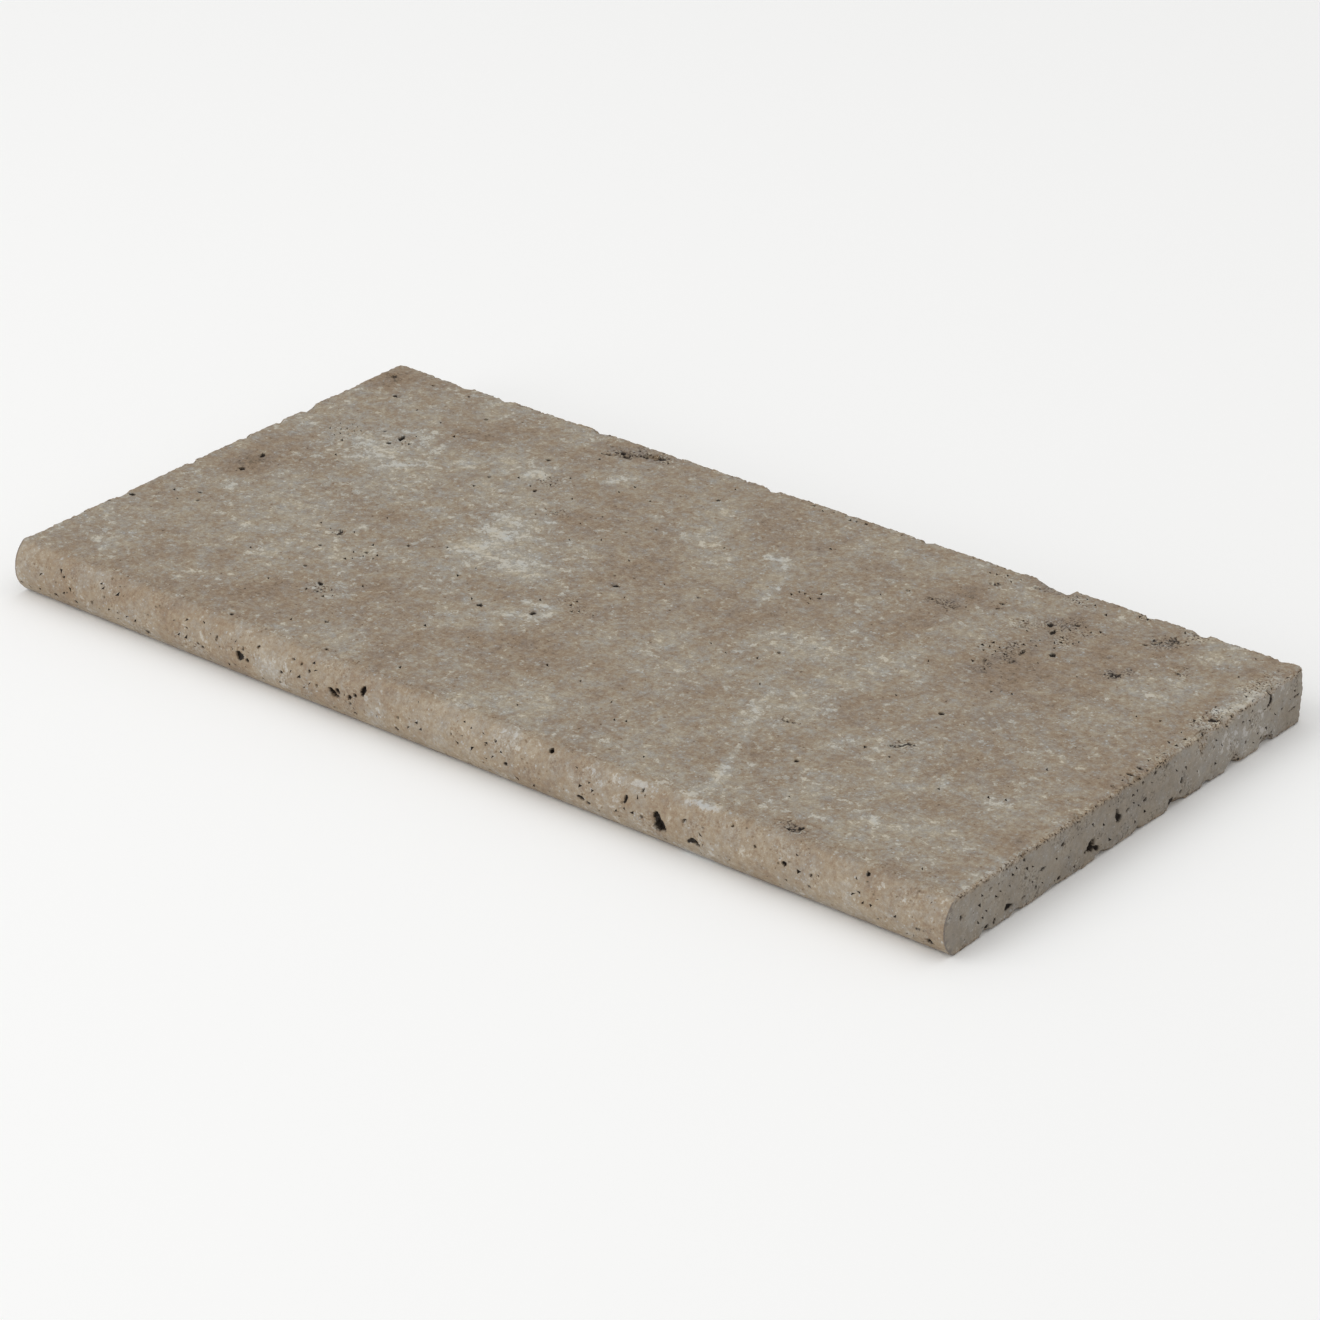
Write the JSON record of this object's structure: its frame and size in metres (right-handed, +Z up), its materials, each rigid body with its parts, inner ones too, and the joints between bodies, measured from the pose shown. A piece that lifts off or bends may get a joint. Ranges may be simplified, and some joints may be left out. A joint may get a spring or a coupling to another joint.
{
  "type": "pool coping stone",
  "caption": "Flat rectangular travertine coping slab with a bullnose along one long edge, worn chipped arrises and natural pits; it edges a pool or step.",
  "frame": {"origin": "centre of the slab's box, on the plane it lies on", "axes": "+X along the length, +Y from the rounded nose to the sawn back, +Z up out of the walking face"},
  "size_m": [0.61, 0.305, 0.03],
  "materials": {
    "travertine": "matte honed and tumbled, unfilled, with a smoother rubbed nose"
  },
  "bodies": {
    "root": {"coping_stone": "travertine"}
  },
  "joints": []
}
